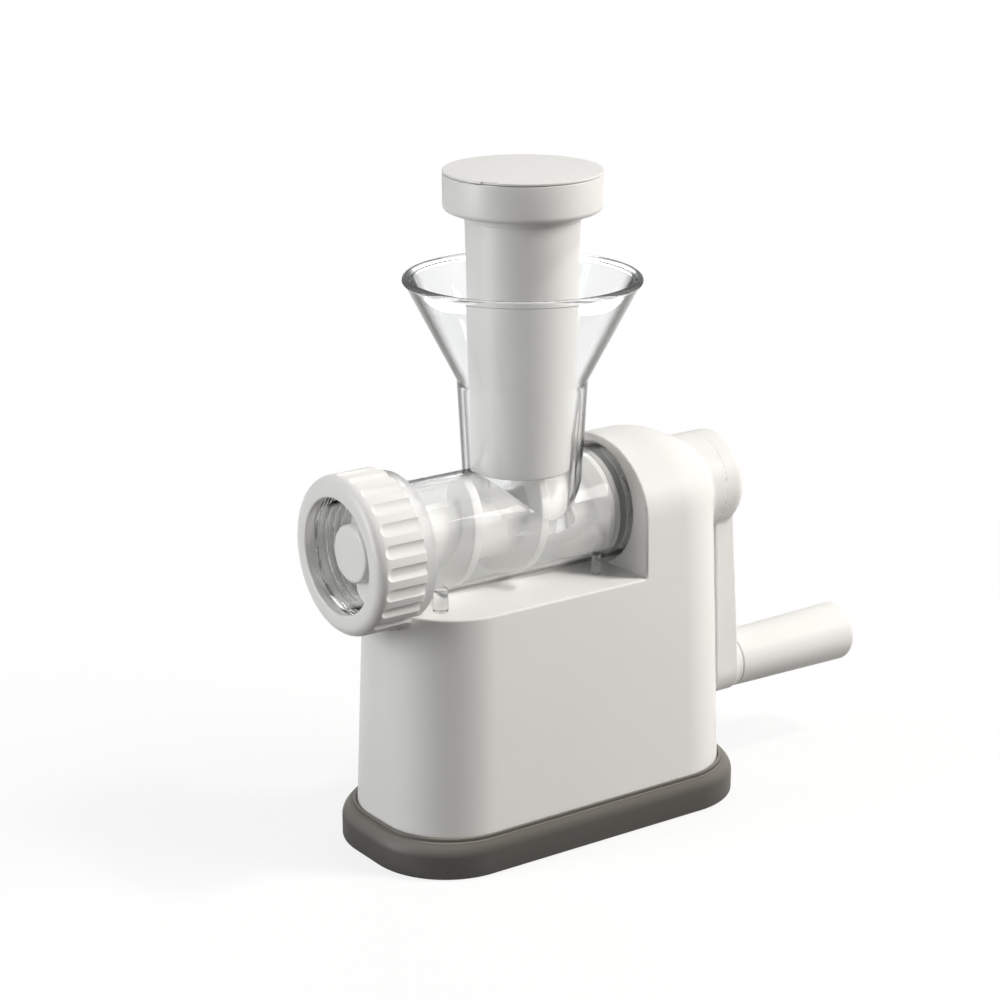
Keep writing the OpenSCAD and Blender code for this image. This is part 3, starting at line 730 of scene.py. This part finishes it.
groove_steps = ((-13.8, 0), (-13.5, 0.3), (-13.2, 2), (-5.2, 2), (-4.9, 0.3), (-4.6, 0))
bead_steps = ((0.42, 1.5), (0.24, 1.42), (0.19, 1.3), (0.18, 0.6), (0.14, 0.2), (0.06, 0.02), (0, 0))
seat_steps = ((-0.12, FOOT_H + 0.05), (-0.3, FOOT_H), (-0.6, FOOT_H - 0.4), (-0.6, SOLE + 0.5), (-1.1, SOLE))
sole = [foot_ring(0, step, height) for step, height in groove_steps]
edge = [foot_ring(1, -HEEL * (1 - math.sin(turn)), HEEL * (1 - math.cos(turn)))
        for turn in np.radians(range(0, 91, 15))]
curve = [foot_ring(1 - up ** 2.1, 0, FOOT_H - SHOULDER * (1 - up)) for up in np.linspace(0, 0.76, 14)]
bead = [foot_ring(share, 0, FOOT_H - down) for share, down in bead_steps]
inside = [foot_ring(0, step, height) for step, height in seat_steps]
profile = sole + edge + curve + bead + inside
foot = new_object("foot_tray", carried_round("foot_tray", profile))
dress(foot, "body", ["foot"], SOLE_RUBBER)

# %% [markdown]
# ## Winding
# A thread and the flight of a feed screw are the same form: a section that moves along the axis
# while it goes round it. One tree of Geometry Nodes makes both, with its ends eased to the root.

# %% Winding with Geometry Nodes


def group(name, inputs):
    """New Geometry Nodes tree with a geometry socket and named inputs (name, kind, value)."""
    tree = bpy.data.node_groups.new(name, "GeometryNodeTree")
    tree.interface.new_socket("Geometry", in_out="INPUT", socket_type="NodeSocketGeometry")
    for title, kind, value in inputs:
        made = tree.interface.new_socket(title, in_out="INPUT", socket_type="NodeSocket" + kind)
        if value is not None:
            made.default_value = value
    tree.interface.new_socket("Geometry", in_out="OUTPUT", socket_type="NodeSocketGeometry")
    return tree, tree.nodes.new("NodeGroupInput").outputs


def finish_group(tree, geometry, finish):
    """Ends a tree in Realize Instances and Set Material."""
    solid = add(tree, "GeometryNodeRealizeInstances", {"Geometry": geometry})
    painted = add(tree, "GeometryNodeSetMaterial", {"Geometry": solid.outputs[0], "Material": finish})
    out = tree.nodes.new("NodeGroupOutput")
    tree.links.new(painted.outputs[0], out.inputs[0])


def run_group(piece, tree, **values):
    """Runs a tree on a piece with its inputs set by socket, and applies it."""
    step = piece.modifiers.new(tree.name, "NODES")
    step.node_group = tree
    for socket in tree.interface.items_tree:
        key = socket.name.lower().replace(" ", "_")
        if socket.in_out == "INPUT" and key in values:
            step[socket.identifier] = values[key]
    return applied(piece)


def winding_tree():
    """Carries a section round the x axis while it moves along it: a thread or a flight."""
    tree, given = group("wind_section", [
        ("Lead", "Float", 0.0032), ("Turns", "Float", 4.0), ("Steps", "Int", 200), ("Start", "Float", 0.0),
        ("Height", "Float", 0.122), ("Root", "Float", 0.02), ("Fade", "Float", 0.1),
        ("Finish", "Material", None)])
    section = add(tree, "GeometryNodeMeshToCurve", {"Mesh": given["Geometry"]})
    end = add(tree, "ShaderNodeCombineXYZ", {"Z": given["Turns"]})
    line = add(tree, "GeometryNodeCurvePrimitiveLine", {"End": end.outputs[0]})
    spaced = add(tree, "GeometryNodeResampleCurve", {"Curve": line.outputs[0], "Count": given["Steps"]})
    bar = add(tree, "GeometryNodeCurveToMesh", {"Curve": spaced.outputs[0],
                                                "Profile Curve": section.outputs[0], "Fill Caps": True})
    here = add(tree, "ShaderNodeSeparateXYZ", {"Vector": add(tree, "GeometryNodeInputPosition").outputs[0]})

    def calc(kind, a, b=0.0):
        """One step of arithmetic."""
        return add(tree, "ShaderNodeMath", {0: a, 1: b}, operation=kind).outputs[0]

    along = here.outputs["Z"]
    from_end = calc("MINIMUM", along, calc("SUBTRACT", given["Turns"], along))
    ease = calc("MINIMUM", calc("DIVIDE", calc("MAXIMUM", from_end, 0.0), given["Fade"]), 1.0)
    ease = calc("SQRT", calc("SUBTRACT", 1.0, calc("POWER", calc("SUBTRACT", 1.0, ease), 2.0)))
    height = calc("SUBTRACT", here.outputs["X"], given["Root"])
    radius = calc("ADD", given["Root"], calc("MULTIPLY", height, ease))
    angle = calc("MULTIPLY", along, 2 * math.pi)
    start = calc("ADD", given["Start"], here.outputs["Y"])
    x = calc("ADD", start, calc("MULTIPLY", along, given["Lead"]))
    y = calc("MULTIPLY", calc("MULTIPLY", radius, calc("SINE", angle)), -1.0)
    z = calc("SUBTRACT", given["Height"], calc("MULTIPLY", radius, calc("COSINE", angle)))
    place = add(tree, "ShaderNodeCombineXYZ", {"X": x, "Y": y, "Z": z})
    bent = add(tree, "GeometryNodeSetPosition", {"Geometry": bar.outputs[0], "Position": place.outputs[0]})
    finish_group(tree, bent.outputs[0], given["Finish"])
    return tree


WIND = winding_tree()


def wound(name, section, lead, turns, start, root, fade, finish, steps_per_turn=96):
    """Mesh of a section of (radius, place) wound left-hand round the barrel axis."""
    ring = bpy.data.meshes.new(name)
    count = len(section)
    spots = [(radius * MM, place * MM, 0) for radius, place in section]
    ring.from_pydata(spots, [(i, (i + 1) % count) for i in range(count)], [])
    piece = new_object(name, ring)
    run_group(piece, WIND, lead=lead * MM, turns=float(turns), steps=int(turns * steps_per_turn),
              start=start * MM, height=AXIS_Z * MM, root=root * MM, fade=fade, finish=finish)
    mesh = piece.data
    bpy.data.objects.remove(piece)
    outward(mesh)
    print(f"{name}: {turns:.1f} turns, {len(mesh.polygons)} faces")
    return mesh


# %% [markdown]
# ## Clear barrel
# Barrel, chute and funnel are one clear moulding. Each part is turned from its profile, and
# exact booleans join them and bore them out, so the walls keep an even thickness. The stop flange
# is frosted, and the barrel is a little hazy, as in the photograph.

# %% Barrel
THREAD_R = NUT_R - 5.4
THREAD_DEPTH, THREAD_LEAD = 1.0, 3.2
JOURNAL_HOLE_R = 9.4
thread_root = THREAD_R - THREAD_DEPTH
thread_end = FLANGE_X - FLANGE_T
tube = [(0, barrel_low[0]), (thread_root, barrel_low[0], 0.5), (thread_root, thread_end, 0.5),
        (FLANGE_R, thread_end, 0.8), (FLANGE_R, FLANGE_X, 0.8),
        (BARREL_R, FLANGE_X, 0.8), (BARREL_R, barrel_high[0], 0.4), (0, barrel_high[0])]
barrel = new_object("clear_barrel", turned("clear_barrel", rounded(tube), around=192, centre=(0, AXIS_Z)))
ridge = [(thread_root - 0.4, -0.9), (thread_root, -0.9), (THREAD_R, -0.45), (THREAD_R, 0.45),
         (thread_root, 0.9), (thread_root - 0.4, 0.9)]
thread_turns = (thread_end - barrel_low[0] - 3.4) / THREAD_LEAD
combine(barrel, wound("barrel_thread", ridge, THREAD_LEAD, thread_turns, barrel_low[0] + 1.7,
                      thread_root - 0.3, 0.15, CLEAR, 120), "UNION")
CHUTE_R, NECK_R, NECK_Z, FUNNEL_WALL, RIM_T = BARREL_R - 0.6, 24.6, 176.8, 2.0, 3.4
tip_r, tip_z = RIM_R - RIM_T / 2, RIM_Z - RIM_T / 2
outside = [(0, AXIS_Z), (CHUTE_R, AXIS_Z), (NECK_R, NECK_Z, 2.0), (RIM_R - 1.0, tip_z - 0.8, 0.8),
           (RIM_R, tip_z - 0.3, 0.7), (RIM_R, RIM_Z, 1.6), (0, RIM_Z)]
inside = [(0, AXIS_Z - 1), (CHUTE_R - FUNNEL_WALL, AXIS_Z - 1), (NECK_R - FUNNEL_WALL, NECK_Z, 12.0),
          (RIM_R - RIM_T, tip_z - 0.4, 2.0), (RIM_R - RIM_T + 0.2, RIM_Z - 1.2, 0.4),
          (RIM_R - RIM_T + 1.6, RIM_Z + 0.2), (0, RIM_Z + 0.2)]
combine(barrel, turned("funnel_outside", rounded(outside), "z", (CHUTE_X, 0), 192), "UNION")
peg_foot = DECK_Z + SEAT
peg_top = DECK_Z + SEAT + BARREL_R * 0.42
for x, y, radius in ((FLANGE_X + 6.8, 0.84 * BARREL_R, 2.9), (TOWER_X - 12.4, 0.79 * BARREL_R, 1.9)):
    for side in (-1, 1):
        peg = [(0, peg_foot), (radius, peg_foot, 0.5), (radius - 0.1, peg_top, 0.8), (0, peg_top)]
        combine(barrel, turned("peg", rounded(peg), "z", (x, side * y), 48), "UNION")
wall_end = WALL_X + END_WALL
bore = [(0, barrel_low[0] - 1), (INNER_R, barrel_low[0] - 1), (INNER_R, WALL_X, 0.6),
        (JOURNAL_HOLE_R, WALL_X), (JOURNAL_HOLE_R, wall_end), (INNER_R, wall_end, 0.6),
        (INNER_R, barrel_high[0] + 1), (0, barrel_high[0] + 1)]
combine(barrel, turned("barrel_bore", rounded(bore), centre=(0, AXIS_Z), around=192), "DIFFERENCE")
combine(barrel, turned("funnel_inside", rounded(inside), "z", (CHUTE_X, 0), 192), "DIFFERENCE")
dress(barrel, "hopper", ["barrel"], CLEAR)
barrel.data.materials.append(HAZY)
barrel.data.materials.append(FROSTED)
for face in barrel.data.polygons:
    x, y, z = (c / MM for c in face.center)
    out = math.hypot(y, z - AXIS_Z)
    if thread_end - 0.5 < x < FLANGE_X + 0.5 and out > BARREL_R + 0.5:
        face.material_index = 2
    elif x > FLANGE_X and out < BARREL_R + 0.3:
        face.material_index = 1

# %% [markdown]
# ## Ring nut
# The ring nut is turned with a soft front edge. Geometry Nodes set one cutter round the rim and
# cut the flutes, whose number fits those that the photograph shows, and then its thread is cut.

# %% Ring nut
OUTLET_R, NUT_PLATE = 21.9, 3.0
FLUTES, FLUTE_R, FLUTE_DEPTH, FLUTE_PHASE = 23, 3.3, 1.3, 2.96
NUT_FRONT, NUT_BACK = nut_low[0], nut_high[0]
NUT_BORE = NUT_R - 5


def flute_tree():
    """Cuts copies of a cutter, spaced evenly round the x axis, out of a ring."""
    tree, given = group("cut_flutes", [
        ("Cutter", "Object", None), ("Count", "Int", 21), ("Radius", "Float", 0.03),
        ("Height", "Float", 0.122), ("Phase", "Float", 0.0), ("Finish", "Material", None)])
    circle = add(tree, "GeometryNodeMeshCircle", {"Vertices": given["Count"], "Radius": given["Radius"]})
    stand = add(tree, "ShaderNodeCombineXYZ", {"X": given["Phase"], "Y": 0.0, "Z": 0.0})
    lift = add(tree, "ShaderNodeCombineXYZ", {"Z": given["Height"]})
    upright = add(tree, "GeometryNodeTransform", {"Geometry": circle.outputs[0],
                                                  "Rotation": (0, math.pi / 2, 0)})
    placed = add(tree, "GeometryNodeTransform", {"Geometry": upright.outputs[0], "Rotation": stand.outputs[0],
                                                 "Translation": lift.outputs[0]})
    cutter = add(tree, "GeometryNodeObjectInfo", {"Object": given["Cutter"]})
    copies = add(tree, "GeometryNodeInstanceOnPoints", {"Points": placed.outputs[0],
                                                        "Instance": cutter.outputs["Geometry"]})
    tools = add(tree, "GeometryNodeRealizeInstances", {"Geometry": copies.outputs[0]})
    cut = add(tree, "GeometryNodeMeshBoolean", {"Mesh 1": given["Geometry"], "Mesh 2": tools.outputs[0]},
              operation="DIFFERENCE", solver="EXACT")
    finish_group(tree, cut.outputs[0], given["Finish"])
    return tree


nut = [(OUTLET_R, NUT_FRONT, 0.8), (NUT_R, NUT_FRONT, 4.2), (NUT_R, NUT_BACK, 0.8), (NUT_BORE, NUT_BACK, 0.5),
       (NUT_BORE, NUT_FRONT + NUT_PLATE, 0.4), (OUTLET_R, NUT_FRONT + NUT_PLATE, 0.5)]
ring = new_object("ring_nut_fluted", turned("ring_nut_fluted", rounded(nut), centre=(0, AXIS_Z), around=210))
rod = [(0, NUT_FRONT + 2.4), (FLUTE_R, NUT_FRONT + 2.4, FLUTE_R - 0.1), (FLUTE_R, NUT_BACK + 2),
       (0, NUT_BACK + 2)]
cutter = new_object("cutter", turned("cutter", rounded(rod), around=36))
run_group(ring, flute_tree(), cutter=cutter, count=FLUTES, radius=(NUT_R + FLUTE_R - FLUTE_DEPTH) * MM,
          height=AXIS_Z * MM, phase=math.radians(FLUTE_PHASE), finish=SMALL)
bpy.data.objects.remove(cutter)
groove = [(NUT_BORE - 0.5, -0.7), (NUT_BORE + 0.9, -0.35), (NUT_BORE + 0.9, 0.35), (NUT_BORE - 0.5, 0.7)]
nut_turns = (NUT_BACK - NUT_FRONT - 6) / THREAD_LEAD
combine(ring, wound("nut_thread", groove, THREAD_LEAD, nut_turns, NUT_FRONT + 4.0, NUT_BORE - 0.5, 0.2,
                    SMALL), "DIFFERENCE")
dress(ring, "ring_nut", ["ring_nut"], SMALL)

# %% [markdown]
# ## Feed screw
# The screw carries the meat from the chute to the outlet. Its core tapers, and one left-hand
# flight is swept round it.

# %% Feed screw
FLIGHT_R = INNER_R - 0.4
PITCH, FLIGHT_ROOT = 30.4, 8.6
SEAL_T, DISC_T, JOURNAL_R, HEX_DEPTH = 1.8, 2.6, 9.2, 17
DISC_X = WALL_X - 0.6 - SEAL_T - DISC_T
FLIGHT_X = barrel_low[0] + 3.0
disc_r = INNER_R - 0.3
core = [(0, barrel_low[0] + 0.5), (10.9, barrel_low[0] + 0.5, 1.2), (12.5, DISC_X, 1.5),
        (disc_r, DISC_X, 0.5), (disc_r, DISC_X + DISC_T, 0.5), (JOURNAL_R, DISC_X + DISC_T, 0.3),
        (JOURNAL_R, screw_high[0], 0.5), (0, screw_high[0])]
screw = new_object("feed_screw", turned("feed_screw", rounded(core), centre=(0, AXIS_Z), around=128))
turns = (DISC_X + 2.1 - FLIGHT_X - 5) / PITCH
section = rounded([(FLIGHT_ROOT, 0), (FLIGHT_ROOT, 6), (FLIGHT_R - 4, 5.3, 8), (FLIGHT_R, 5, 0.7),
                   (FLIGHT_R, 1, 0.7), (FLIGHT_R - 4, 0.7, 8)], 20)
combine(screw, wound("flight", section, PITCH, turns, FLIGHT_X - 1, FLIGHT_ROOT, 0.06, SMALL), "UNION")
socket_x = screw_high[0] - HEX_DEPTH
hexagon = [(0, socket_x), (HEX_R, socket_x), (HEX_R, screw_high[0] + 1), (0, screw_high[0] + 1)]
combine(screw, turned("hexagon", hexagon, centre=(0, AXIS_Z), around=6), "DIFFERENCE")
dress(screw, "feed_screw", ["auger"], SMALL)

# %% [markdown]
# ## Plunger
# The plunger is a hollow tapered shank under a wide cap. A thin disc with a shoulder closes the
# cap and leaves a fine seam. A small notch in its edge is where a fingernail lifts it.

# %% Plunger and its lid
SHANK_LOW_R, SHANK_HIGH_R, COLLAR_R, CAP_BORE_R = 19.3, 21.4, 22.0, 19.4
PLUNGER_WALL, CAP_H = 2, 15
cap_z, cap_r = lid_high[2], lid_high[1]
cap_base, cap_top = cap_z - CAP_H, lid_low[2] + 2.7
bottom = plunger_low[2]
tube = [(0, bottom), (SHANK_LOW_R, bottom, 1.0), (SHANK_HIGH_R, cap_base - 3.0, 0.0),
        (COLLAR_R, cap_base - 3.0, 0.3), (COLLAR_R, cap_base, 0.4), (cap_r, cap_base, 2.4),
        (cap_r, cap_top, 0.3), (CAP_BORE_R, cap_top, 0.2), (CAP_BORE_R, cap_base + 4),
        (SHANK_LOW_R - PLUNGER_WALL, bottom + PLUNGER_WALL, 1), (0, bottom + PLUNGER_WALL)]
plunger = new_object("plunger", turned("plunger", rounded(tube), "z", (CHUTE_X, 0), 192))
dress(plunger, "pusher", ["pusher"], SMALL)
lid_t = 0.9
disc = [(0, cap_z), (cap_r, cap_z, 0.3), (cap_r, cap_z - lid_t, 0.2), (19.2, cap_z - lid_t, 0.2),
        (19.2, lid_low[2], 0.4), (17.2, lid_low[2], 0.4), (17.2, cap_z - lid_t, 0.2), (0, cap_z - lid_t)]
lid = new_object("plunger_lid", turned("plunger_lid", rounded(disc), "z", (CHUTE_X, 0), 192))
notch_turn = math.radians(-150)
centre = Matrix.Translation((CHUTE_X * MM, 0, cap_z * MM)) @ Matrix.Rotation(notch_turn, 4, "Z")
place = centre @ Matrix.Translation(((cap_r + 0.9) * MM, 0, 0)) @ Matrix.Diagonal((0.004, 0.007, 0.01, 1))
box = bpy.data.meshes.new("box")
work = bmesh.new()
bmesh.ops.create_cube(work, size=1, matrix=place)
work.to_mesh(box)
work.free()
combine(lid, box, "DIFFERENCE")
dress(lid, "pusher_lid", ["pusher_lid"], SMALL)

# %% [markdown]
# ## Crank
# Hub, arm and the boss for the grip are one moulding. The arm leans away from the body as it goes
# down and gets thicker, and small fillets join the three.

# %% Crank arm
ARM_R, ARM_T, HUB_L, CAP_SEAT_R, SPIGOT_R = 11.7, 9.1, 10.4, 13.6, 9.17
ARM_LEAN, ARM_BACK = math.radians(2.2), math.radians(4.2)


def crank_field(x, y, z):
    """Hub, arm, lower boss and spigot, with the holes for cap, shaft, screw and pin."""
    down = AXIS_Z - z
    front = (HUB_X + down * math.tan(ARM_LEAN) - x) * math.cos(ARM_LEAN)
    rear = (x - HUB_X - ARM_T - down * math.tan(ARM_BACK)) * math.cos(ARM_BACK)
    reach = np.clip(z, GRIP_Z, AXIS_Z)
    plate = np.hypot(y, z - reach) - ARM_R
    arm = meet(meet(plate, front, 0.8), rear, 1.3)
    hub = meet(meet(np.hypot(y, z - AXIS_Z) - HUB_R, HUB_X - 0.6 - x, 0.3), x - HUB_X - HUB_L, 5.2)
    hub = meet(hub, -round_bar(x, y, z, 15, HUB_X - 5, HUB_X), 0.1)
    solid = join(hub, arm, 1.2)
    solid = join(solid, round_bar(x, y, z, 11.3, HUB_X + 4, crank_high[0], rear=0.6, height=GRIP_Z), 0.8)
    solid = join(solid, round_bar(x, y, z, SPIGOT_R, crank_low[0], HUB_X + 2), 0.3)
    solid = meet(solid, -round_bar(x, y, z, CAP_SEAT_R, HUB_X + HUB_L - 3.0, HUB_X + 20), 0.3)
    solid = np.maximum(solid, -round_bar(x, y, z, HEX_R, crank_low[0] - 5, HUB_X + 1.2))
    solid = np.maximum(solid, -round_bar(x, y, z, 2.3, crank_low[0] - 5, HUB_X + 20))
    return np.maximum(solid, -round_bar(x, y, z, 3.05, 50, crank_high[0] + 5, height=GRIP_Z))


arm = new_object("crank", skin("crank", crank_field, crank_low, crank_high, CRANK_CELL))
dress(arm, "crank", ["crank_arm"], SMALL, sharp=0)

# %% [markdown]
# ## Grip
# The grip is a turned sleeve that widens towards its far end, where a small plug closes it.

# %% Grip
grip_x, grip_end = grip_low[0], grip_high[0]
pin_hole, plug_seat, seat_x = 4.05, 9.0, grip_end - 9.7
sleeve = [(pin_hole, grip_x), (11.3, grip_x, 0.6), (12.2, grip_end, 3.0), (plug_seat, grip_end, 0.4),
          (plug_seat, seat_x, 0.2), (pin_hole, seat_x)]
grip = new_object("grip_sleeve", turned("grip_sleeve", rounded(sleeve), centre=(0, GRIP_Z), around=128))
dress(grip, "grip", ["grip"], SMALL)
plug = [(0, grip_end), (7.8, grip_end, 0.4), (7.8, grip_end - 2.4, 0.2), (0, grip_end - 2.4)]
cap = new_object("grip_end_cap", turned("grip_end_cap", rounded(plug), centre=(0, GRIP_Z), around=96))
dress(cap, "grip", ["grip_cap"], SMALL)

# %% [markdown]
# ## Pieces that stay as they are
# The inner pieces of the drive, the screws and the base plate keep the shape that the frame gives
# them. They only get their finish.

# %% Finishes of the pieces that stay as they are
KEPT = {"base_plate": SHELL, "hub_cap": SMALL, "auger_seal": SEAL,
        "front_bush": ACETAL, "rear_bush": ACETAL, "hub_washer": ACETAL, "grip_washer": ACETAL,
        "base_screws": STEEL, "drive_shaft": STEEL, "shaft_clip": STEEL, "crank_screw": STEEL,
        "grip_pin": STEEL, "grip_nut": STEEL}
for node, finish in KEPT.items():
    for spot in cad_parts[node].material_slots:
        spot.material = finish
